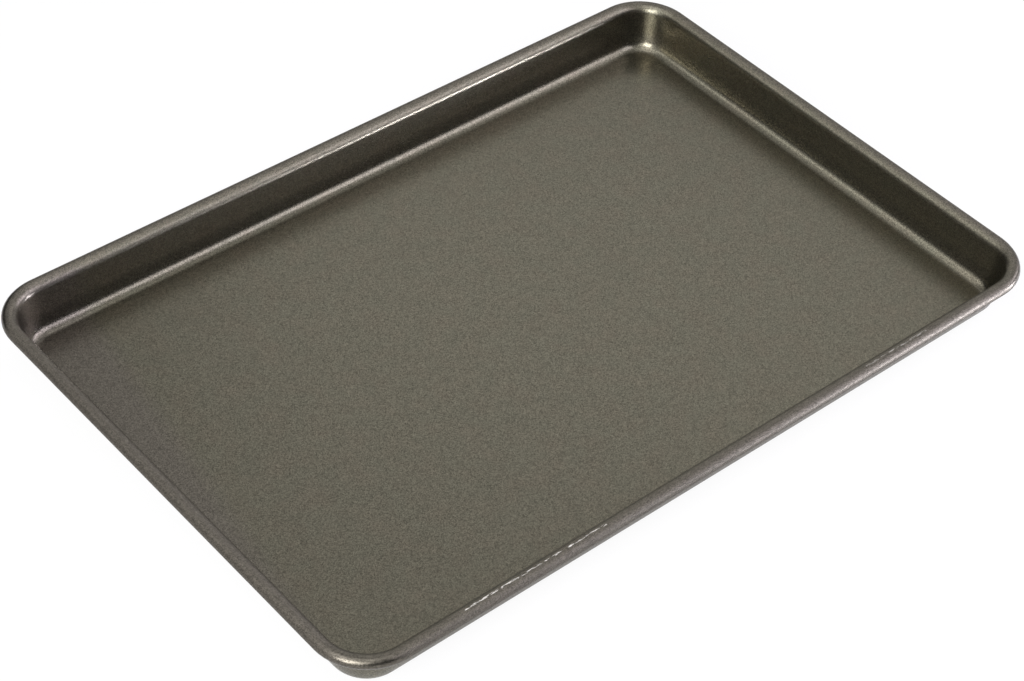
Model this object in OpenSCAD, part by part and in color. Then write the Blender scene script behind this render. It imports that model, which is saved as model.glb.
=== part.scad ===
// Jelly roll pan: one pressed sheet with a rolled rim, and the steel wire that the rim is rolled round.
// Millimetres. The origin is on the table under the middle of the pan, +Z is up,
// +X runs along the long side and -Y is the front.

/* [Pan] */
// Length of the opening between the walls, at the top
opening_length = 381; // [250:1:560]
// Width of the opening between the walls, at the top
opening_width = 255; // [180:1:420]
// Height from the table to the top of the rim
pan_height = 24; // [16:0.5:60]
// Radius of the wall at each corner of the opening, at the top
corner_radius = 19; // [10:1:60]

/* [Sheet] */
// Thickness of the coated steel sheet
sheet_thickness = 0.8; // [0.5:0.05:1.2]
// Lean of the walls, in degrees from upright
wall_draft = 7; // [2:0.5:15]
// Radius inside the pan where the floor turns up into the wall
floor_fillet = 6.5; // [2:0.5:12]

/* [Rolled rim] */
// Radius of the edge where the wall turns over into the rim
rim_edge_radius = 4.6; // [3.6:0.1:8]
// Width of the flat between that edge and the start of the roll
rim_flat = 0.3; // [0:0.1:8]
// How far the sheet is rolled round the wire, in degrees from the top
roll_turn = 270; // [200:5:280]

/* [Rim wire] */
// Diameter of the wire inside the rolled rim
wire_diameter = 3.6; // [2.4:0.1:5]
// How much wider than the wire the inside of the roll is
wire_play = 0.1; // [0:0.05:0.4]
// Space between the two ends of the wire, at the middle of the back
wire_end_gap = 2; // [0.5:0.5:10]

/* [Hidden] */

$fn = 96;

// One corner's centre, which is also how far each straight run reaches from the middle of its side
half_run_x = opening_length / 2 - corner_radius;
half_run_y = opening_width / 2 - corner_radius;

// In the section, x is measured outwards from the wall's line at the top and y up from the table.
// The fillet's centre lies one fillet radius from both the floor and the leaning wall.
fillet_y = sheet_thickness + floor_fillet;
fillet_x = wall_x(fillet_y) - floor_fillet / cos(wall_draft);

// The edge's centre lies one edge radius under the top and outside the wall's inner face.
edge_y = pan_height - rim_edge_radius;
edge_x = wall_x(edge_y) + rim_edge_radius / cos(wall_draft);

// The roll has room for the wire, and starts level with the top of the rim.
roll_inner_radius = (wire_diameter + wire_play) / 2;
roll_radius = roll_inner_radius + sheet_thickness;
roll_x = edge_x + rim_flat;
roll_y = pan_height - roll_radius;
rim_width = roll_x + roll_radius;

// The wall turns through this angle at the fillet, and back again at the edge.
wall_turn = 90 - wall_draft;
bend_height = (floor_fillet + rim_edge_radius) * (1 - cos(wall_turn));
wall_length = (pan_height - sheet_thickness - bend_height) / cos(wall_draft);
floor_length = corner_radius + fillet_x;

// The section is drawn with the millimetre at this length, and then enlarged. A turned frame is written
// with only six digits, and what they leave out is then too little to part two stretches.
mm = 0.01;

// The roll is bent in equal steps, each less than half a turn.
roll_steps = 3;

// The wire lies on the bottom of the roll.
wire_radius = wire_diameter / 2;
wire_y = roll_y - wire_play / 2;

// Place of the wall's inner face at a height above the table
function wall_x(height) = -(pan_height - height) * tan(wall_draft);

// The next modules draw the sheet in section, one stretch after another, small as said above.
// Each starts at the origin with its underside on the x axis, and carries its children on from its end.
module flat_stretch(length) {
    square([length * mm, sheet_thickness * mm]);
    translate([length * mm, 0])
        children();
}

// The half of the plane that lies ahead of the start, or behind it
module half_plane(reach, ahead) {
    translate([ahead ? 0 : -reach * mm, -reach * mm])
        square([reach * mm, 2 * reach * mm]);
}

module sheet_ring(outer_radius) {
    difference() {
        circle(r = outer_radius * mm);
        circle(r = (outer_radius - sheet_thickness) * mm);
    }
}

// A bend towards the upper face, whose radius is given
module bend_up(upper_radius, angle) {
    outer_radius = upper_radius + sheet_thickness;
    translate([0, outer_radius * mm]) {
        intersection() {
            sheet_ring(outer_radius);
            half_plane(2 * outer_radius, true);
            rotate(angle)
                half_plane(2 * outer_radius, false);
        }
        rotate(angle)
            translate([0, -outer_radius * mm])
                children();
    }
}

// A bend away from the upper face, whose radius is given
module bend_down(upper_radius, angle) {
    lower_radius = upper_radius - sheet_thickness;
    translate([0, -lower_radius * mm]) {
        intersection() {
            sheet_ring(upper_radius);
            half_plane(2 * upper_radius, true);
            rotate(-angle)
                half_plane(2 * upper_radius, false);
        }
        rotate(-angle)
            translate([0, lower_radius * mm])
                children();
    }
}

// The roll round the wire, ending just short of the wall
module roll(steps) {
    bend_down(roll_radius, roll_turn / roll_steps)
        if (steps > 1) roll(steps - 1);
}

// The whole sheet in section, from one corner radius inside the opening to the end of the roll
module sheet_section() {
    translate([-corner_radius, 0])
        scale(1 / mm)
            flat_stretch(floor_length)
                bend_up(floor_fillet, wall_turn)
                    flat_stretch(wall_length)
                        bend_down(rim_edge_radius, wall_turn)
                            flat_stretch(rim_flat)
                                roll(roll_steps);
}

module wire_section() {
    translate([roll_x, wire_y])
        circle(r = wire_radius);
}

// Carries a section straight along +Y for the given length
module straight_run(length) {
    rotate([90, 0, 0])
        mirror([0, 0, 1])
            linear_extrude(length)
                translate([corner_radius, 0])
                    children();
}

// Carries a section round one corner and along half of the side on either hand of it
module quarter_sweep() {
    translate([half_run_x, half_run_y, 0]) {
        rotate_extrude(angle = 90)
            translate([corner_radius, 0])
                children();
        mirror([0, 1, 0])
            straight_run(half_run_y) children();
        rotate(90)
            straight_run(half_run_x) children();
    }
}

// The pan is the same on both sides of its two middle planes.
module four_quarters() {
    for (left = [0, 1], front = [0, 1])
        mirror([left, 0, 0])
            mirror([0, front, 0])
                children();
}

// The pressed and coated sheet: floor, walls and rolled rim in one piece
module pan_shell() {
    color("#5f594f")
        four_quarters() {
            quarter_sweep() sheet_section();
            cube([half_run_x, half_run_y, sheet_thickness]);
        }
}

// The round steel wire, bent to the outline of the rim, its two ends close together at the back
module rim_wire() {
    color("#a9a8a4")
        difference() {
            four_quarters()
                quarter_sweep() wire_section();
            translate([-wire_end_gap / 2, half_run_y, 0])
                cube([wire_end_gap, corner_radius + rim_width, pan_height]);
        }
}

pan_shell();
rim_wire();
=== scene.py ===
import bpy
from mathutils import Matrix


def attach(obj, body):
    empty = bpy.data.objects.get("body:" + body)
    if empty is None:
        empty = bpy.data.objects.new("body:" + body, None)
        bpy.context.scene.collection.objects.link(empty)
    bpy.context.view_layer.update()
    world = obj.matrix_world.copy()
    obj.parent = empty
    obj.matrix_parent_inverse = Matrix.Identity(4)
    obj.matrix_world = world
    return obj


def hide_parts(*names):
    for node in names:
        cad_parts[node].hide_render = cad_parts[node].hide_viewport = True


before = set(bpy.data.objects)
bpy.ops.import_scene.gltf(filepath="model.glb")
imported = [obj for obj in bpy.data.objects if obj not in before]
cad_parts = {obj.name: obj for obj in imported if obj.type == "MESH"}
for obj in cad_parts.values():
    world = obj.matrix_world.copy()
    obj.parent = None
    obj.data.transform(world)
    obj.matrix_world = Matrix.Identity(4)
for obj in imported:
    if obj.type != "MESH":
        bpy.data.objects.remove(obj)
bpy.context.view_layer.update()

import math

import bpy
from bpy.props import FloatProperty, FloatVectorProperty, PointerProperty
from mathutils import Matrix, Vector

bl_info = {
    "name": "Jelly Roll Pan",
    "version": (1, 0, 0),
    "blender": (4, 5, 0),
    "location": "View3D > Sidebar > Pan",
    "description": "Builds a coated steel jelly roll pan with a wired rim, and its studio",
    "category": "Add Mesh",
}

MM = 0.001

# The photograph's width and the focal length in its pixels, and where the camera that was fitted
# to the pan stands and looks
PHOTO_WIDTH = 1024
FOCAL_PIXELS = 2498.35
SENSOR_WIDTH_MM = 36.0
CAMERA_AT = Vector((-561.88, -606.93, 766.79)) * MM
CAMERA_RIGHT = Vector((0.76425, -0.64330, 0.04568))
CAMERA_DOWN = Vector((-0.41630, -0.54619, -0.72689))
CAMERA_FORWARD = Vector((0.49256, 0.53651, -0.68523))


def linear(code):
    """A colour written as sRGB hex, as linear red, green, blue and alpha."""
    parts = [int(code[i : i + 2], 16) / 255 for i in (1, 3, 5)]
    return [p / 12.92 if p <= 0.04045 else ((p + 0.055) / 1.055) ** 2.4 for p in parts] + [1.0]


def add(tree, kind, settings=None, links=None):
    """Adds a node, sets its options, and gives each input a value or the socket that feeds it."""
    node = tree.nodes.new(kind)
    for name, value in (settings or {}).items():
        setattr(node, name, value)
    for name, value in (links or {}).items():
        if isinstance(value, bpy.types.NodeSocket):
            tree.links.new(value, node.inputs[name])
        else:
            node.inputs[name].default_value = value
    return node


def work_out(tree, values, rules):
    """Adds the arithmetic that each rule gives: its name, its operation and its terms.

    A term is a number or the name of a value, and the results join the values under their names."""
    for name, operation, *terms in rules:
        inputs = {i: values[t] if isinstance(t, str) else t for i, t in enumerate(terms)}
        values[name] = add(tree, "ShaderNodeMath", {"operation": operation}, inputs).outputs[0]


def own_properties(group):
    """The properties that a property group declares itself, in order."""
    return [prop for prop in group.bl_rna.properties if prop.identifier not in ("rna_type", "name")]


# ---------------------------------------------------------------- sizes and colours


class PanSizes(bpy.types.PropertyGroup):
    """Sizes of the pan, the CAD part's but for the fillet's ease and the rim's ripple.

    Each is also a named input of the trees that make the pieces."""

    opening_length: FloatProperty(
        name="Opening Length", description="Length between the walls, at the top",
        default=0.381, min=0.25, max=0.56, unit="LENGTH")
    opening_width: FloatProperty(
        name="Opening Width", description="Width between the walls, at the top",
        default=0.255, min=0.18, max=0.42, unit="LENGTH")
    pan_height: FloatProperty(
        name="Height", description="Height from the table to the top of the rim",
        default=0.024, min=0.016, max=0.06, unit="LENGTH")
    corner_radius: FloatProperty(
        name="Corner Radius", description="Radius of the wall at each corner, at the top",
        default=0.019, min=0.01, max=0.06, unit="LENGTH")
    sheet_thickness: FloatProperty(
        name="Sheet Thickness", description="Thickness of the coated steel sheet",
        default=0.0008, min=0.0005, max=0.0012, precision=5, unit="LENGTH")
    wall_lean: FloatProperty(
        name="Wall Lean", description="Lean of the walls from upright",
        default=math.radians(7), min=math.radians(2), max=math.radians(15), subtype="ANGLE")
    floor_fillet: FloatProperty(
        name="Floor Fillet",
        description="Radius of the middle of the bend where the floor turns up",
        default=0.0058, min=0.002, max=0.012, precision=5, unit="LENGTH")
    fillet_ease: FloatProperty(
        name="Fillet Ease",
        description="Radius of the slow curve that eases that bend into the wall",
        default=0.028, min=0.002, max=0.08, precision=5, unit="LENGTH")
    ease_turn: FloatProperty(
        name="Ease Turn", description="How far the slow curve turns",
        default=math.radians(12), min=0.0, max=math.radians(30), subtype="ANGLE")
    rim_edge: FloatProperty(
        name="Rim Edge", description="Radius of the edge where the wall turns over into the rim",
        default=0.0046, min=0.0036, max=0.008, precision=5, unit="LENGTH")
    rim_flat: FloatProperty(
        name="Rim Flat", description="Width of the flat between that edge and the roll",
        default=0.0003, min=0.0, max=0.008, precision=5, unit="LENGTH")
    roll_turn: FloatProperty(
        name="Roll Turn", description="How far the sheet is rolled round the wire",
        default=math.radians(270), min=math.radians(200), max=math.radians(280), subtype="ANGLE")
    wire_diameter: FloatProperty(
        name="Wire Diameter", description="Diameter of the wire inside the rim",
        default=0.0036, min=0.0024, max=0.005, precision=5, unit="LENGTH")
    wire_play: FloatProperty(
        name="Wire Play", description="How much wider than the wire the inside of the roll is",
        default=0.0001, min=0.0, max=0.0004, precision=5, unit="LENGTH")
    wire_gap: FloatProperty(
        name="Wire Gap", description="Space between the wire's ends, at the middle of the back",
        default=0.002, min=0.0005, max=0.01, precision=5, unit="LENGTH")
    rim_ripple: FloatProperty(
        name="Rim Ripple", description="How far the rim wanders inwards from a true line",
        default=0.0001, min=0.0, max=0.001, precision=5, unit="LENGTH")


class PanColours(bpy.types.PropertyGroup):
    """Colours of the coat and of the bare steel."""

    coat: FloatVectorProperty(
        name="Coat", description="The coat's own olive grey",
        default=linear("#686559")[:3], size=3, min=0, max=1, subtype="COLOR")
    coat_warm: FloatVectorProperty(
        name="Warm Coat", description="What the coat drifts to where it lies thinner",
        default=linear("#6b6559")[:3], size=3, min=0, max=1, subtype="COLOR")
    coat_grey: FloatVectorProperty(
        name="Grey Coat", description="The greyer coat on the rim and beside the left wall",
        default=linear("#69645c")[:3], size=3, min=0, max=1, subtype="COLOR")
    # The bare steel colour is the wire's, and also that of the glints painted on the front rim
    bare_steel: FloatVectorProperty(
        name="Bare Steel", description="Steel where the coat is rubbed off, and the wire",
        default=linear("#dedbd5")[:3], size=3, min=0, max=1, subtype="COLOR")


class StudioSettings(bpy.types.PropertyGroup):
    """Light of the studio."""

    fill: FloatProperty(
        name="Fill", description="Strength of the light from all round on matt surfaces",
        default=0.1, min=0, max=2)
    lamps: FloatProperty(
        name="Lamps", description="Strength of all the soft boxes together",
        default=1.0, min=0, max=4)
    floor_colour: FloatVectorProperty(
        name="Floor", description="Colour of the studio floor",
        default=linear("#f4f4f4")[:3], size=3, min=0, max=1, subtype="COLOR")
    floor_glow: FloatProperty(
        name="Floor Glow", description="Share of plain white in the floor as the camera sees it",
        default=0.9, min=0, max=1, subtype="FACTOR")
    floor_mirrored: FloatProperty(
        name="Mirrored Floor Glow",
        description="The same share in the floor as the pan's metal mirrors it",
        default=0.25, min=0, max=1, subtype="FACTOR")
    room_mirrored: FloatProperty(
        name="Mirrored Room",
        description="Brightness of the room between the lamps as the pan's metal mirrors it",
        default=0.62, min=0, max=1, subtype="FACTOR")


# ---------------------------------------------------------------- shape of the pan

# Steps along the rim for each side and each corner, and points in each stretch of the section
SIDE_STEPS = 84
CORNER_STEPS = 14
QUARTER_STEPS = SIDE_STEPS + CORNER_STEPS
STRETCH_POINTS = 15

# Steps of the wire from one end to the other, and points round it
WIRE_STEPS = 480
WIRE_POINTS = 24

# Points nearer than this are one, and an edge that turns further than this stays sharp
MERGE_WITHIN = 0.01 * MM
SHEET_SHARP = math.radians(35)
WIRE_SHARP = math.radians(40)

# The rim wanders in waves of about 60 mm, read on a line 30 mm out from the corners' centres
RIPPLE_SCALE = 16.0
RIPPLE_LINE = (30 * MM,) * 3

# How far each straight side reaches from its middle, which is also where the corners' centres lie
REACH_RULES = (
    ("half length", "MULTIPLY", "Opening Length", 0.5),
    ("reach x", "SUBTRACT", "half length", "Corner Radius"),
    ("half width", "MULTIPLY", "Opening Width", 0.5),
    ("reach y", "SUBTRACT", "half width", "Corner Radius"),
)

# Where the bends of the sheet lie in its section: x outwards from the wall's line at the top, y up
SECTION_RULES = (
    ("turn", "SUBTRACT", math.pi / 2, "Wall Lean"),
    ("slope", "TANGENT", "Wall Lean"),
    ("upright", "COSINE", "Wall Lean"),
    ("fillet y", "ADD", "Sheet Thickness", "Floor Fillet"),
    ("ease more", "SUBTRACT", "Fillet Ease", "Floor Fillet"),
    ("ease cos", "COSINE", "Ease Turn"),
    ("ease back", "MULTIPLY", "ease more", "ease cos"),
    ("fillet off", "SUBTRACT", "Fillet Ease", "ease back"),
    ("fillet drop", "SUBTRACT", "fillet y", "Height"),
    ("fillet line", "MULTIPLY", "fillet drop", "slope"),
    ("fillet reach", "DIVIDE", "fillet off", "upright"),
    ("fillet x", "SUBTRACT", "fillet line", "fillet reach"),
    ("ease start", "ADD", "Wall Lean", "Ease Turn"),
    ("ease start cos", "COSINE", "ease start"),
    ("ease start sin", "SINE", "ease start"),
    ("ease x back", "MULTIPLY", "ease more", "ease start cos"),
    ("ease x", "SUBTRACT", "fillet x", "ease x back"),
    ("ease y up", "MULTIPLY", "ease more", "ease start sin"),
    ("ease y", "ADD", "fillet y", "ease y up"),
    ("fillet end", "MULTIPLY", "ease start", -1.0),
    ("fillet turn", "ADD", "fillet end", math.pi / 2),
    ("fillet turn back", "MULTIPLY", "fillet turn", -1.0),
    ("ease turn back", "MULTIPLY", "Ease Turn", -1.0),
    ("ease under", "ADD", "Fillet Ease", "Sheet Thickness"),
    ("edge y", "SUBTRACT", "Height", "Rim Edge"),
    ("edge line", "MULTIPLY", "Rim Edge", "slope"),
    ("edge reach", "DIVIDE", "Rim Edge", "upright"),
    ("edge x", "SUBTRACT", "edge reach", "edge line"),
    ("roll bore", "ADD", "Wire Diameter", "Wire Play"),
    ("roll inside", "MULTIPLY", "roll bore", 0.5),
    ("roll outside", "ADD", "roll inside", "Sheet Thickness"),
    ("roll x", "ADD", "edge x", "Rim Flat"),
    ("roll y", "SUBTRACT", "Height", "roll outside"),
    ("fillet under", "ADD", "Floor Fillet", "Sheet Thickness"),
    ("edge under", "SUBTRACT", "Rim Edge", "Sheet Thickness"),
    ("half roll", "MULTIPLY", "Roll Turn", -0.5),
    ("roll middle", "ADD", "half roll", math.pi / 2),
    ("roll end", "SUBTRACT", math.pi / 2, "Roll Turn"),
    ("half roll back", "MULTIPLY", "Roll Turn", 0.5),
    ("turn back", "MULTIPLY", "turn", -1.0),
    ("wall end", "MULTIPLY", "Wall Lean", -1.0),
    ("edge start", "SUBTRACT", math.pi, "Wall Lean"),
    ("inner x", "MULTIPLY", "Corner Radius", -1.0),
    ("floor run", "SUBTRACT", "fillet x", "inner x"),
    ("floor run back", "MULTIPLY", "floor run", -1.0),
)

# The stretches of the section in order, out along the upper face and back along the lower one: the
# bend's middle, its radius, the angle where it starts, how far it turns, and a straight run
STRETCHES = (
    ("inner x", "Sheet Thickness", 0.0, 0.0, 0.0, "floor run"),
    ("fillet x", "fillet y", "Floor Fillet", -math.pi / 2, "fillet turn", 0.0),
    ("ease x", "ease y", "Fillet Ease", "fillet end", "Ease Turn", 0.0),
    ("edge x", "edge y", "Rim Edge", "edge start", "turn back", 0.0),
    ("roll x", "roll y", "roll outside", math.pi / 2, "half roll", 0.0),
    ("roll x", "roll y", "roll outside", "roll middle", "half roll", 0.0),
    ("roll x", "roll y", "roll inside", "roll end", "half roll back", 0.0),
    ("roll x", "roll y", "roll inside", "roll middle", "half roll back", 0.0),
    ("edge x", "edge y", "edge under", math.pi / 2, "turn", 0.0),
    ("ease x", "ease y", "ease under", "wall end", "ease turn back", 0.0),
    ("fillet x", "fillet y", "fillet under", "fillet end", "fillet turn back", 0.0),
    ("fillet x", 0.0, 0.0, 0.0, 0.0, "floor run back"),
)

# Where a step along the rim lies: its side, how far it has come along that and round the corner
# after it, which way is out there, and the foot from which the section reaches out
PATH_RULES = (
    ("sides", "DIVIDE", "step", QUARTER_STEPS),
    ("side", "FLOOR", "sides"),
    ("side part", "SUBTRACT", "sides", "side"),
    ("side step", "MULTIPLY", "side part", QUARTER_STEPS),
    ("raw run", "DIVIDE", "side step", SIDE_STEPS),
    ("run", "MINIMUM", "raw run", 1.0),
    ("past side", "SUBTRACT", "side step", SIDE_STEPS),
    ("raw bend", "DIVIDE", "past side", CORNER_STEPS),
    ("bend", "MAXIMUM", "raw bend", 0.0),
    ("quarters", "ADD", "side", "bend"),
    ("heading", "MULTIPLY", "quarters", math.pi / 2),
    ("out x", "COSINE", "heading"),
    ("out y", "SINE", "heading"),
    ("from quarters", "SUBTRACT", "side", 0.5),
    ("from angle", "MULTIPLY", "from quarters", math.pi / 2),
    ("to angle", "ADD", "from angle", math.pi / 2),
    ("diagonal x", "MULTIPLY", "reach x", math.sqrt(2)),
    ("diagonal y", "MULTIPLY", "reach y", math.sqrt(2)),
    ("from cos", "COSINE", "from angle"),
    ("from sin", "SINE", "from angle"),
    ("to cos", "COSINE", "to angle"),
    ("to sin", "SINE", "to angle"),
    ("from x", "MULTIPLY", "from cos", "diagonal x"),
    ("from y", "MULTIPLY", "from sin", "diagonal y"),
    ("to x", "MULTIPLY", "to cos", "diagonal x"),
    ("to y", "MULTIPLY", "to sin", "diagonal y"),
    ("span x", "SUBTRACT", "to x", "from x"),
    ("span y", "SUBTRACT", "to y", "from y"),
    ("foot x", "MULTIPLY_ADD", "span x", "run", "from x"),
    ("foot y", "MULTIPLY_ADD", "span y", "run", "from y"),
)


def new_tree(name):
    """An empty tree with the pan's sizes as named inputs, and its values by name.

    The values are those inputs, and the places of the sheet's bends that follow from them."""
    tree = bpy.data.node_groups.new(name, "GeometryNodeTree")
    for size in own_properties(PanSizes):
        socket = tree.interface.new_socket(
            size.name, in_out="INPUT", socket_type="NodeSocketFloat")
        socket.subtype = "ANGLE" if size.subtype == "ANGLE" else "DISTANCE"
    tree.interface.new_socket("Material", in_out="INPUT", socket_type="NodeSocketMaterial")
    tree.interface.new_socket("Mesh", in_out="OUTPUT", socket_type="NodeSocketGeometry")
    given = add(tree, "NodeGroupInput")
    values = {socket.name: socket for socket in given.outputs if socket.name}
    values["index"] = add(tree, "GeometryNodeInputIndex").outputs[0]
    work_out(tree, values, REACH_RULES + SECTION_RULES)
    return tree, values


def place(tree, values):
    """Where the section's point comes to lie at its step along the rim.

    The rim wanders slowly inwards there, not at all at the floor and most at the top."""
    work_out(tree, values, PATH_RULES)
    foot = add(tree, "ShaderNodeCombineXYZ", links={
        "X": values["foot x"], "Y": values["foot y"]}).outputs[0]
    out = add(tree, "ShaderNodeCombineXYZ", links={
        "X": values["out x"], "Y": values["out y"]}).outputs[0]
    line = add(tree, "ShaderNodeVectorMath", {"operation": "MULTIPLY_ADD"},
               {0: out, 1: RIPPLE_LINE, 2: foot})
    wander = add(tree, "ShaderNodeTexNoise", {"noise_dimensions": "3D"}, {
        "Vector": line.outputs[0], "Scale": RIPPLE_SCALE, "Detail": 2.0, "Roughness": 0.6})
    values["wander"] = wander.outputs[0]
    work_out(tree, values, (
        ("height share", "DIVIDE", "section y", "Height"),
        ("rise", "MULTIPLY", "height share", "height share"),
        ("ripple", "MULTIPLY", "wander", "Rim Ripple"),
        ("shift", "MULTIPLY", "ripple", "rise"),
        ("reach", "ADD", "Corner Radius", "section x"),
        ("distance", "SUBTRACT", "reach", "shift"),
    ))
    along = add(tree, "ShaderNodeVectorMath", {"operation": "SCALE"},
                {0: out, "Scale": values["distance"]})
    flat = add(tree, "ShaderNodeVectorMath", {"operation": "ADD"}, {0: foot, 1: along.outputs[0]})
    up = add(tree, "ShaderNodeCombineXYZ", links={"Z": values["section y"]})
    return add(tree, "ShaderNodeVectorMath", {"operation": "ADD"},
               {0: flat.outputs[0], 1: up.outputs[0]}).outputs[0]


def close_off(tree, values, mesh, sharp_angle):
    """Ends a tree: merges what meets, smooths all but the sharp edges, and sets the material."""
    merged = add(tree, "GeometryNodeMergeByDistance", links={
        "Geometry": mesh, "Distance": MERGE_WITHIN})
    smooth = add(tree, "GeometryNodeSetShadeSmooth", {"domain": "FACE"}, {
        "Geometry": merged.outputs[0]})
    angle = add(tree, "GeometryNodeInputMeshEdgeAngle")
    sharp = add(tree, "FunctionNodeCompare", {"data_type": "FLOAT", "operation": "GREATER_THAN"}, {
        0: angle.outputs["Unsigned Angle"], 1: sharp_angle})
    edges = add(tree, "GeometryNodeSetShadeSmooth", {"domain": "EDGE"}, {
        "Geometry": smooth.outputs[0], "Selection": sharp.outputs[0], "Shade Smooth": False})
    finished = add(tree, "GeometryNodeSetMaterial", links={
        "Geometry": edges.outputs[0], "Material": values["Material"]})
    real = add(tree, "GeometryNodeRealizeInstances", links={"Geometry": finished.outputs[0]})
    add(tree, "NodeGroupOutput", links={0: real.outputs[0]})
    return tree


def sheet_tree():
    """The whole sheet: a web of steps along the rim by points of the section, and the floor."""
    tree, values = new_tree("Pan sheet")
    columns = len(STRETCHES) * STRETCH_POINTS
    web = add(tree, "GeometryNodeMeshGrid", links={
        "Vertices X": 4 * QUARTER_STEPS + 1, "Vertices Y": columns})
    work_out(tree, values, (
        ("row", "DIVIDE", "index", columns),
        ("step", "FLOOR", "row"),
        ("column", "FLOORED_MODULO", "index", columns),
        ("stretches", "DIVIDE", "column", STRETCH_POINTS),
        ("stretch", "FLOOR", "stretches"),
        ("point", "FLOORED_MODULO", "column", STRETCH_POINTS),
        ("share", "DIVIDE", "point", STRETCH_POINTS - 1),
    ))

    # One switch for each column of the table of stretches, worked by the stretch's number
    switches = []
    for terms in zip(*STRETCHES):
        switch = add(tree, "GeometryNodeIndexSwitch", {"data_type": "FLOAT"}, {
            "Index": values["stretch"]})
        while len(switch.index_switch_items) < len(terms):
            switch.index_switch_items.new()
        for i, term in enumerate(terms, 1):
            if isinstance(term, str):
                tree.links.new(values[term], switch.inputs[i])
            else:
                switch.inputs[i].default_value = term
        switches.append(switch.outputs[0])
    values.update(zip(("middle x", "middle y", "radius", "start", "sweep", "straight"), switches))
    work_out(tree, values, (
        ("angle", "MULTIPLY_ADD", "sweep", "share", "start"),
        ("cos", "COSINE", "angle"),
        ("sin", "SINE", "angle"),
        ("bend x", "MULTIPLY_ADD", "radius", "cos", "middle x"),
        ("section x", "MULTIPLY_ADD", "straight", "share", "bend x"),
        ("section y", "MULTIPLY_ADD", "radius", "sin", "middle y"),
        ("floor length", "MULTIPLY", "reach x", 2.0),
        ("floor width", "MULTIPLY", "reach y", 2.0),
    ))
    placed = add(tree, "GeometryNodeSetPosition", links={
        "Geometry": web.outputs[0], "Position": place(tree, values)})
    shell = add(tree, "GeometryNodeFlipFaces", links={"Mesh": placed.outputs[0]})

    # The floor between the corners' centres, once for each of its faces
    grid = add(tree, "GeometryNodeMeshGrid", links={
        "Size X": values["floor length"], "Size Y": values["floor width"],
        "Vertices X": SIDE_STEPS + 1, "Vertices Y": SIDE_STEPS + 1})
    lift = add(tree, "ShaderNodeCombineXYZ", links={"Z": values["Sheet Thickness"]})
    top = add(tree, "GeometryNodeTransform", links={
        "Geometry": grid.outputs[0], "Translation": lift.outputs[0]})
    bottom = add(tree, "GeometryNodeFlipFaces", links={"Mesh": grid.outputs[0]})
    whole = add(tree, "GeometryNodeJoinGeometry")
    for part in (shell, top, bottom):
        tree.links.new(part.outputs[0], whole.inputs[0])
    return close_off(tree, values, whole.outputs[0], SHEET_SHARP)


def wire_tree():
    """The rim wire: a round section carried along the rim from one side of the gap to the other."""
    tree, values = new_tree("Rim wire")
    # The steps have one row more than their number, and each end has a row that closes it
    rows = WIRE_STEPS + 3
    round_points = WIRE_POINTS + 1
    web = add(tree, "GeometryNodeMeshGrid", links={
        "Vertices X": rows, "Vertices Y": round_points})
    work_out(tree, values, (
        ("rows", "DIVIDE", "index", round_points),
        ("row", "FLOOR", "rows"),
        ("point", "FLOORED_MODULO", "index", round_points),
        ("angle", "MULTIPLY", "point", 2 * math.pi / WIRE_POINTS),
        ("cos", "COSINE", "angle"),
        ("sin", "SINE", "angle"),
        # the first row and the last draw together to the middle, and so close the wire's ends
        ("before end", "SUBTRACT", rows - 1, "row"),
        ("to nearest end", "MINIMUM", "row", "before end"),
        ("open", "MINIMUM", "to nearest end", 1.0),
        ("wire radius", "MULTIPLY", "Wire Diameter", 0.5),
        ("drawn radius", "MULTIPLY", "wire radius", "open"),
        # the wire lies on the bottom of the roll
        ("wire sink", "MULTIPLY", "Wire Play", 0.5),
        ("wire y", "SUBTRACT", "roll y", "wire sink"),
        ("section x", "MULTIPLY_ADD", "drawn radius", "cos", "roll x"),
        ("section y", "MULTIPLY_ADD", "drawn radius", "sin", "wire y"),
        # half of the gap in steps of the back, which is twice its reach long
        ("gap share", "DIVIDE", "Wire Gap", "reach x"),
        ("gap steps", "MULTIPLY", "gap share", SIDE_STEPS / 4),
        ("gap all", "MULTIPLY", "gap steps", 2.0),
        ("way steps", "SUBTRACT", 4 * QUARTER_STEPS, "gap all"),
        ("from first", "SUBTRACT", "row", 1.0),
        ("way part", "DIVIDE", "from first", WIRE_STEPS),
        ("way capped", "MINIMUM", "way part", 1.0),
        ("way", "MAXIMUM", "way capped", 0.0),
        # the back is the second side, and the wire starts past the gap at its middle
        ("way start", "ADD", "gap steps", QUARTER_STEPS + SIDE_STEPS / 2),
        ("step", "MULTIPLY_ADD", "way steps", "way", "way start"),
    ))
    wire = add(tree, "GeometryNodeSetPosition", links={
        "Geometry": web.outputs[0], "Position": place(tree, values)})
    return close_off(tree, values, wire.outputs[0], WIRE_SHARP)


def grown(name, tree, sizes, material):
    """The plain mesh that a tree gives at these sizes, as an object at the origin."""
    empty = bpy.data.meshes.new(name)
    piece = bpy.data.objects.new(name, empty)
    bpy.context.scene.collection.objects.link(piece)
    modifier = piece.modifiers.new("Shape", "NODES")
    modifier.node_group = tree
    sockets = {s.name: s.identifier for s in tree.interface.items_tree if s.in_out == "INPUT"}
    for size in own_properties(sizes):
        modifier[sockets[size.name]] = getattr(sizes, size.identifier)
    modifier[sockets["Material"]] = material
    bpy.context.view_layer.update()
    evaluated = piece.evaluated_get(bpy.context.evaluated_depsgraph_get())
    mesh = bpy.data.meshes.new_from_object(evaluated)
    piece.modifiers.remove(modifier)
    piece.data = mesh
    bpy.data.meshes.remove(empty)
    mesh.name = name
    if not mesh.polygons:
        raise RuntimeError(f"the tree for {name} gave no faces")
    return piece


# ---------------------------------------------------------------- materials


# A colour mix node's sockets: how far from the first colour to the second, and what comes out
MIX_SHARE, MIX_FIRST, MIX_SECOND, MIX_COLOUR = 0, 6, 7, 2
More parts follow.
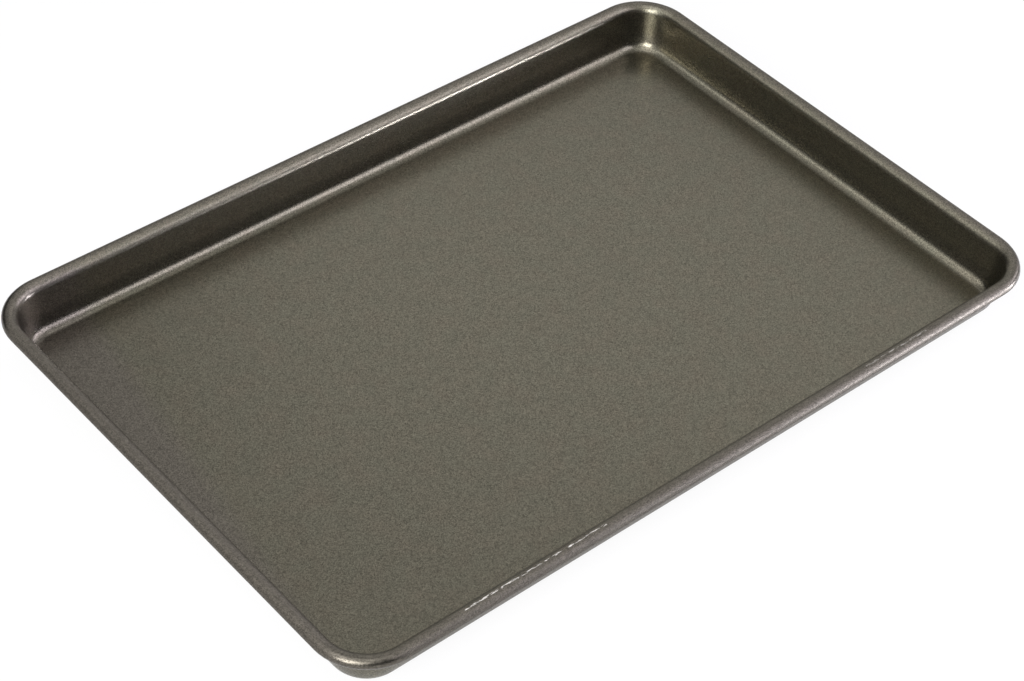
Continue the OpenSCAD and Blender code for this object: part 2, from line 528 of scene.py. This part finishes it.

# Sizes of the coat's patterns, in mm. Real flakes are about 0.05 mm, too fine to show in the
# picture, and are drawn this coarse so that they do. A painted glint is longer along the rim than
# across it.
FLAKE_MM = 0.34
PATCH_MM = 12.0
PEEL_MM = 2.0
GLINT_DASH_MM = (3.5, 0.5, 0.5)

# Where highlights are painted on the front rim as glints, in mm: the middle and the half length of
# each run along X, the middle and the half width of their line outside the opening, and the least
# height
LEFT_RUN = (-104.0, 37.0)
RIGHT_RUN = (103.0, 19.0)
GLINT_LINE = (3.5, 0.4)
GLINT_HEIGHT = 20.0
GLINT_LEVEL = 0.54
RIGHT_RUN_DEPTH = 0.45

# The warmer coat takes over where a spray patch is stronger than this, and this fast
PATCH_LEVEL = 0.375
PATCH_CONTRAST = 2.0

# The strip beside the left wall is measured on x plus this share of y, so it widens to the back
STRIP_LEAN = -0.15

# What eases from one value to another: what it follows, where it starts and ends in mm, and its
# values there
EASED = {
    "grey strip": ("strip line", -177.0, -162.0, 1.0, 0.0),
    "grey rim": ("out", 0.5, 4.0, 0.0, 0.8),
    "dark": ("out", 2.0, 6.0, 1.0, 0.7),
    "dull": ("out", -1.2, 4.0, 0.0, 0.3),
}

# Each flake is its own shade of the coat from the darkest up, leans by up to a degree and a half,
# and is up to this much rougher than the smoothest
FLAKE_DARKEST = 0.55
FLAKE_SHADES = 0.9
FLAKE_LEAN = 0.03
FLAKE_ROUGHER = 0.06

COAT_ROUGHNESS = 0.26
COAT_METALLIC = 0.97
GLINT_METALLIC = 0.3

# How fast the rim's corners turn smoother with handling, and the most that they do
HANDLED = 1.6
MOST_HANDLED = 0.9

# The baked film's orange peel is this share of this depth, some two or three thousandths of a mm
PEEL_STRENGTH = 0.13
PEEL_DEPTH = 0.02 * MM


def empty_material(name):
    """A material without nodes, and its tree."""
    material = bpy.data.materials.new(name)
    material.use_nodes = True
    material.node_tree.nodes.clear()
    return material, material.node_tree


def shaded_material(name):
    """A material, its tree, its one Principled shader, and the object's coordinates in mm."""
    material, tree = empty_material(name)
    coordinates = add(tree, "ShaderNodeTexCoord")
    place_mm = add(tree, "ShaderNodeVectorMath", {"operation": "SCALE"},
                   {0: coordinates.outputs["Object"], "Scale": 1 / MM})
    shader = add(tree, "ShaderNodeBsdfPrincipled")
    add(tree, "ShaderNodeOutputMaterial", links={"Surface": shader.outputs[0]})
    return material, tree, shader, place_mm.outputs[0]


def sprayed_nonstick(colours, sizes):
    """Sprayed and baked non-stick coat on steel: a dark resin full of fine aluminium flakes.

    The flakes turn their own ways, so the coat reads as an even satin metal with a fine sparkle."""
    material, tree, shader, at = shaded_material("Sprayed non-stick coat")
    where = add(tree, "ShaderNodeSeparateXYZ", links={"Vector": at})
    flakes = add(tree, "ShaderNodeTexVoronoi", {"voronoi_dimensions": "3D", "feature": "F1"},
                 {"Vector": at, "Scale": 1 / FLAKE_MM})
    flake = add(tree, "ShaderNodeSeparateColor", links={"Color": flakes.outputs["Color"]})
    patches = add(tree, "ShaderNodeTexNoise", links={
        "Vector": at, "Scale": 1 / PATCH_MM, "Detail": 2.0, "Roughness": 0.5})
    stretched = add(tree, "ShaderNodeVectorMath", {"operation": "DIVIDE"}, {0: at, 1: GLINT_DASH_MM})
    glint_dashes = add(tree, "ShaderNodeTexNoise", links={
        "Vector": stretched.outputs[0], "Scale": 1.0, "Detail": 2.0, "Roughness": 0.7})
    values = {"x": where.outputs["X"], "y": where.outputs["Y"], "z": where.outputs["Z"],
              "flake shade": flake.outputs[0], "flake gloss": flake.outputs[1],
              "patch": patches.outputs[0], "glint dash": glint_dashes.outputs[0]}

    corner_mm = sizes.corner_radius / MM
    work_out(tree, values, (
        # how many millimetres a place lies outside the line of the opening
        ("across x", "ABSOLUTE", "x"),
        ("across y", "ABSOLUTE", "y"),
        ("past x", "SUBTRACT", "across x", sizes.opening_length / 2 / MM - corner_mm),
        ("past y", "SUBTRACT", "across y", sizes.opening_width / 2 / MM - corner_mm),
        ("beyond x", "MAXIMUM", "past x", 0.0),
        ("beyond y", "MAXIMUM", "past y", 0.0),
        ("square x", "MULTIPLY", "beyond x", "beyond x"),
        ("squares", "MULTIPLY_ADD", "beyond y", "beyond y", "square x"),
        ("corner distance", "SQRT", "squares"),
        ("out", "SUBTRACT", "corner distance", corner_mm),
        # painted glints: bright dashes painted on the front rim's inner shoulder, in the runs,
        # where the dash noise is strong
        ("shoulder", "COMPARE", "out", *GLINT_LINE),
        ("on top", "GREATER_THAN", "z", GLINT_HEIGHT),
        ("in front", "LESS_THAN", "y", 0.0),
        ("left run", "COMPARE", "x", *LEFT_RUN),
        ("right run", "COMPARE", "x", *RIGHT_RUN),
        ("right depth", "MULTIPLY", "right run", RIGHT_RUN_DEPTH),
        ("run", "MAXIMUM", "left run", "right depth"),
        ("strong", "GREATER_THAN", "glint dash", GLINT_LEVEL),
        ("rim place", "MULTIPLY", "shoulder", "on top"),
        ("front place", "MULTIPLY", "rim place", "in front"),
        ("run place", "MULTIPLY", "front place", "run"),
        ("painted glint", "MULTIPLY", "run place", "strong"),
        # a painted glint is less metallic, so it scatters the light and reads white from every side
        ("metal", "MULTIPLY_ADD", "painted glint", GLINT_METALLIC - COAT_METALLIC, COAT_METALLIC),
        ("patch over", "SUBTRACT", "patch", PATCH_LEVEL),
        ("warm", "MULTIPLY", "patch over", PATCH_CONTRAST),
        ("strip line", "MULTIPLY_ADD", "y", STRIP_LEAN, "x"),
    ))
    for name, (follows, start, end, first, last) in EASED.items():
        eased = add(tree, "ShaderNodeMapRange", {"interpolation_type": "SMOOTHSTEP"}, {
            "Value": values[follows], "From Min": start, "From Max": end,
            "To Min": first, "To Max": last})
        values[name] = eased.outputs[0]
    work_out(tree, values, (
        ("grey", "MAXIMUM", "grey strip", "grey rim"),
        # over the rim the coat is drawn darker and duller
        ("shade", "MULTIPLY_ADD", "flake shade", FLAKE_SHADES, FLAKE_DARKEST),
        ("tone", "MULTIPLY", "shade", "dark"),
        # the rim's corners are handled most, and are rubbed smooth again
        ("corner x", "DIVIDE", "beyond x", corner_mm),
        ("corner y", "DIVIDE", "beyond y", corner_mm),
        ("corner place", "MULTIPLY", "corner x", "corner y"),
        ("handled", "MULTIPLY", "corner place", HANDLED),
        ("smooth", "MINIMUM", "handled", MOST_HANDLED),
        ("kept", "SUBTRACT", 1.0, "smooth"),
        ("dullness", "MULTIPLY", "dull", "kept"),
        ("base roughness", "ADD", "dullness", COAT_ROUGHNESS),
        ("roughness", "MULTIPLY_ADD", "flake gloss", FLAKE_ROUGHER, "base roughness"),
    ))

    # Warmer patch by patch, then greyer over the rim and in the strip, and the bare steel colour
    # where glints are painted on the front rim
    warm = add(tree, "ShaderNodeMix", {"data_type": "RGBA"}, {
        MIX_SHARE: values["warm"],
        MIX_FIRST: (*colours.coat, 1), MIX_SECOND: (*colours.coat_warm, 1)})
    hue = add(tree, "ShaderNodeMix", {"data_type": "RGBA"}, {
        MIX_SHARE: values["grey"],
        MIX_FIRST: warm.outputs[MIX_COLOUR], MIX_SECOND: (*colours.coat_grey, 1)})
    coat = add(tree, "ShaderNodeVectorMath", {"operation": "SCALE"}, {
        0: hue.outputs[MIX_COLOUR], "Scale": values["tone"]})
    colour = add(tree, "ShaderNodeMix", {"data_type": "RGBA"}, {
        MIX_SHARE: values["painted glint"],
        MIX_FIRST: coat.outputs[0], MIX_SECOND: (*colours.bare_steel, 1)})

    # The film's orange peel, and on it each flake's own lean
    peel = add(tree, "ShaderNodeTexNoise", links={
        "Vector": at, "Scale": 1 / PEEL_MM, "Detail": 2.0, "Roughness": 0.6})
    bump = add(tree, "ShaderNodeBump", links={
        "Strength": PEEL_STRENGTH, "Distance": PEEL_DEPTH, "Height": peel.outputs[0]})
    lean = add(tree, "ShaderNodeVectorMath", {"operation": "MULTIPLY_ADD"}, {
        0: flakes.outputs["Color"], 1: (FLAKE_LEAN,) * 3, 2: (-FLAKE_LEAN / 2,) * 3})
    leaning = add(tree, "ShaderNodeVectorMath", {"operation": "ADD"},
                  {0: bump.outputs[0], 1: lean.outputs[0]})
    normal = add(tree, "ShaderNodeVectorMath", {"operation": "NORMALIZE"}, {0: leaning.outputs[0]})

    for socket, value in (("Base Color", colour.outputs[MIX_COLOUR]), ("Metallic", values["metal"]),
                          ("Roughness", values["roughness"]), ("Normal", normal.outputs[0])):
        tree.links.new(value, shader.inputs[socket])
    return material


# The wire's fine specks, in mm, and how light and how rough it is from speck to speck
SPECK_MM = 0.6
WIRE_SHADES = (0.7, 1.1)
WIRE_ROUGHNESS = (0.28, 0.42)


def drawn_steel(colours):
    """Bare steel wire, drawn through a die and lightly oiled: dull bright metal, finely specked."""
    material, tree, shader, at = shaded_material("Drawn steel wire")
    specks = add(tree, "ShaderNodeTexNoise", links={
        "Vector": at, "Scale": 1 / SPECK_MM, "Detail": 4.0, "Roughness": 0.65})
    shade, rough = (
        add(tree, "ShaderNodeMapRange", links={
            "Value": specks.outputs[0], "To Min": least, "To Max": most}).outputs[0]
        for least, most in (WIRE_SHADES, WIRE_ROUGHNESS))
    tone = add(tree, "ShaderNodeVectorMath", {"operation": "SCALE"},
               {0: tuple(colours.bare_steel), "Scale": shade})
    tree.links.new(tone.outputs[0], shader.inputs["Base Color"])
    tree.links.new(rough, shader.inputs["Roughness"])
    shader.inputs["Metallic"].default_value = 1.0
    return material


# ---------------------------------------------------------------- studio

FLOOR_WIDTH = 6.0

# The floor lies a hair under the pan, so that the two flat faces don't meet
FLOOR_LEVEL = -0.2 * MM

# Soft boxes: azimuth from +X and elevation of the middle in degrees, distance, width and height
# in metres, brightness where white is 1, and colour
SOFT_BOXES = (
    ("overhead", 150, 82, 1.5, 1.09, 0.86, 1.7, "#ffffff"),
    ("overhead_left", 178, 66, 1.5, 0.69, 0.32, 2.4, "#ffffff"),
    ("far_box", 42, 41, 1.5, 0.9, 0.45, 0.53, "#ffffff"),
    ("key", -52, 45, 1.5, 0.69, 0.69, 3.8, "#f0ecff"),
    ("key_side", -16, 38, 1.5, 0.86, 0.92, 1.6, "#f6f2ff"),
    ("front_strip", -45.5, 2.9, 0.59, 0.19, 0.034, 235.0, "#e8e8f8"),
    ("left_box", -153, 34, 1.5, 0.65, 1.1, 12.5, "#ffffff"),
    ("right_low", -18, 27, 1.5, 0.7, 0.35, 4.5, "#f0ebff"),
    ("back_left", 134, 47, 1.5, 0.66, 0.5, 2.1, "#ffffff"),
)

# Black cards, which keep the pale room out of the walls and rims that would mirror it: azimuth
# and elevation of the middle, and width and height as seen from the pan, in degrees
BLACK_CARDS = (
    ("camera_side_card", -105, 22, 72, 44),
    ("left_back_card", 103, 18, 50, 36),
    ("front_card", -46, 13, 50, 18),
    ("back_left_card", 150, 12, 46, 20),
)
CARD_DISTANCE = 1.9


def face_pan(obj, azimuth, elevation, distance):
    """Puts a lamp or a card out in a direction, in degrees, and turns it to the pan."""
    around, up = math.radians(azimuth), math.radians(elevation)
    out = Vector((math.cos(up) * math.cos(around), math.cos(up) * math.sin(around), math.sin(up)))
    obj.location = out * distance
    obj.rotation_euler = (-out).to_track_quat("-Z", "Y").to_euler()


def rectangle(name, width, height, level, material):
    """A flat rectangle at a level, with its middle at the origin."""
    x, y = width / 2, height / 2
    mesh = bpy.data.meshes.new(name)
    mesh.from_pydata([(-x, -y, level), (x, -y, level), (x, y, level), (-x, y, level)],
                     [], [(0, 1, 2, 3)])
    mesh.materials.append(material)
    flat = bpy.data.objects.new(name, mesh)
    bpy.context.scene.collection.objects.link(flat)
    return flat


def seen_share(tree, by_camera, by_metal):
    """One share for the camera, another for a reflection or glass, and none for gathered light."""
    path = add(tree, "ShaderNodeLightPath")
    mirrored = add(tree, "ShaderNodeMath", {"operation": "MAXIMUM"},
                   {0: path.outputs["Is Glossy Ray"], 1: path.outputs["Is Transmission Ray"]})
    metal = add(tree, "ShaderNodeMath", {"operation": "MULTIPLY"},
                {0: mirrored.outputs[0], 1: by_metal})
    return add(tree, "ShaderNodeMath", {"operation": "MULTIPLY_ADD"},
               {0: path.outputs["Is Camera Ray"], 1: by_camera, 2: metal.outputs[0]}).outputs[0]


def white_paper(studio):
    """Matt white paper, which the camera and a reflection see lighter than it is lit."""
    material, tree = empty_material("Matt white paper")
    paper = add(tree, "ShaderNodeBsdfDiffuse", links={"Color": (*studio.floor_colour, 1)})
    glow = add(tree, "ShaderNodeEmission", links={"Strength": 1.0})
    both = add(tree, "ShaderNodeMixShader", links={
        0: seen_share(tree, studio.floor_glow, studio.floor_mirrored),
        1: paper.outputs[0], 2: glow.outputs[0]})
    add(tree, "ShaderNodeOutputMaterial", links={"Surface": both.outputs[0]})
    return material


def black_cloth():
    """Black cloth, which is matt and gives almost no light back."""
    material, tree = empty_material("Black cloth")
    cloth = add(tree, "ShaderNodeBsdfDiffuse", links={"Color": linear("#272727")})
    add(tree, "ShaderNodeOutputMaterial", links={"Surface": cloth.outputs[0]})
    return material


def white_surroundings(studio):
    """White to the camera, a dimmer white in a reflection or glass, and a weak fill elsewhere."""
    world = bpy.data.worlds.new("White surroundings")
    world.use_nodes = True
    tree = world.node_tree
    tree.nodes.clear()
    strength = add(tree, "ShaderNodeMapRange", links={
        "Value": seen_share(tree, 1.0, studio.room_mirrored),
        "To Min": studio.fill, "To Max": 1.0})
    sky = add(tree, "ShaderNodeBackground", links={
        "Color": linear("#ffffff"), "Strength": strength.outputs[0]})
    add(tree, "ShaderNodeOutputWorld", links={"Surface": sky.outputs[0]})
    return world


def soft_box(name, width, height, brightness, colour):
    """A rectangular lamp, whose power follows from its brightness and its area."""
    lamp = bpy.data.lights.new(name, "AREA")
    lamp.shape = "RECTANGLE"
    lamp.size, lamp.size_y = width, height
    lamp.energy = brightness * math.pi * width * height
    lamp.color = linear(colour)[:3]
    box = bpy.data.objects.new(name, lamp)
    bpy.context.scene.collection.objects.link(box)
    return box


def fitted_camera():
    """The camera that was fitted to the photograph."""
    lens = bpy.data.cameras.new("camera")
    lens.sensor_fit = "HORIZONTAL"
    lens.sensor_width = SENSOR_WIDTH_MM
    lens.lens = FOCAL_PIXELS * SENSOR_WIDTH_MM / PHOTO_WIDTH
    lens.clip_start = 0.01
    lens.clip_end = 50
    camera = bpy.data.objects.new("camera", lens)
    bpy.context.scene.collection.objects.link(camera)
    turn = Matrix((CAMERA_RIGHT, -CAMERA_DOWN, -CAMERA_FORWARD)).transposed()
    camera.matrix_world = Matrix.Translation(CAMERA_AT) @ turn.to_4x4()
    return camera


# ---------------------------------------------------------------- operators


class PAN_OT_sheet(bpy.types.Operator):
    """Makes the coated sheet with its rolled rim, in place of the CAD shell"""

    bl_idname = "pan.sheet"
    bl_label = "Coated Sheet"

    def execute(self, context):
        scene = context.scene
        coat = sprayed_nonstick(scene.pan_colours, scene.pan_sizes)
        sheet = grown("coated_sheet", sheet_tree(), scene.pan_sizes, coat)
        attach(sheet, "root")
        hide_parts("pan_shell")
        return {"FINISHED"}


class PAN_OT_wire(bpy.types.Operator):
    """Makes the steel wire inside the rolled rim, in place of the CAD wire"""

    bl_idname = "pan.wire"
    bl_label = "Rim Wire"

    def execute(self, context):
        scene = context.scene
        steel = drawn_steel(scene.pan_colours)
        wire = grown("drawn_rim_wire", wire_tree(), scene.pan_sizes, steel)
        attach(wire, "root")
        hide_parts("rim_wire")
        return {"FINISHED"}


class PAN_OT_studio(bpy.types.Operator):
    """Makes the pale floor, the white surroundings, the lamps, the black cards and the camera"""

    bl_idname = "pan.studio"
    bl_label = "Studio"

    def execute(self, context):
        scene = context.scene
        studio = scene.pan_studio
        paper = white_paper(studio)
        floor = rectangle("studio_floor", FLOOR_WIDTH, FLOOR_WIDTH, FLOOR_LEVEL, paper)
        scene.world = white_surroundings(studio)
        for name, azimuth, elevation, distance, width, height, brightness, colour in SOFT_BOXES:
            box = soft_box(name, width, height, studio.lamps * brightness, colour)
            face_pan(box, azimuth, elevation, distance)
        cloth = black_cloth()
        for name, azimuth, elevation, *angles in BLACK_CARDS:
            width, height = (2 * CARD_DISTANCE * math.tan(math.radians(a / 2)) for a in angles)
            card = rectangle(name, width, height, 0, cloth)
            card.visible_camera = False
            face_pan(card, azimuth, elevation, CARD_DISTANCE)
        scene.camera = fitted_camera()
        scene.view_settings.view_transform = "Standard"
        return {"FINISHED"}


class PAN_PT_panel(bpy.types.Panel):
    """Sizes, colours and the operators that build the pan"""

    bl_idname = "PAN_PT_panel"
    bl_label = "Jelly Roll Pan"
    bl_space_type = "VIEW_3D"
    bl_region_type = "UI"
    bl_category = "Pan"

    def draw(self, context):
        layout = self.layout
        for group in (context.scene.pan_sizes, context.scene.pan_colours, context.scene.pan_studio):
            box = layout.box()
            for prop in own_properties(group):
                box.prop(group, prop.identifier)
        for operator in OPERATORS:
            layout.operator(operator.bl_idname)


OPERATORS = (PAN_OT_sheet, PAN_OT_wire, PAN_OT_studio)
CLASSES = (PanSizes, PanColours, StudioSettings, *OPERATORS, PAN_PT_panel)


def register():
    for cls in CLASSES:
        bpy.utils.register_class(cls)
    bpy.types.Scene.pan_sizes = PointerProperty(type=PanSizes)
    bpy.types.Scene.pan_colours = PointerProperty(type=PanColours)
    bpy.types.Scene.pan_studio = PointerProperty(type=StudioSettings)


def unregister():
    for name in ("pan_sizes", "pan_colours", "pan_studio"):
        delattr(bpy.types.Scene, name)
    for cls in reversed(CLASSES):
        bpy.utils.unregister_class(cls)


def main():
    """Builds the pan and its studio."""
    register()
    bpy.ops.pan.sheet()
    bpy.ops.pan.wire()
    bpy.ops.pan.studio()


if __name__ == "__main__":
    main()
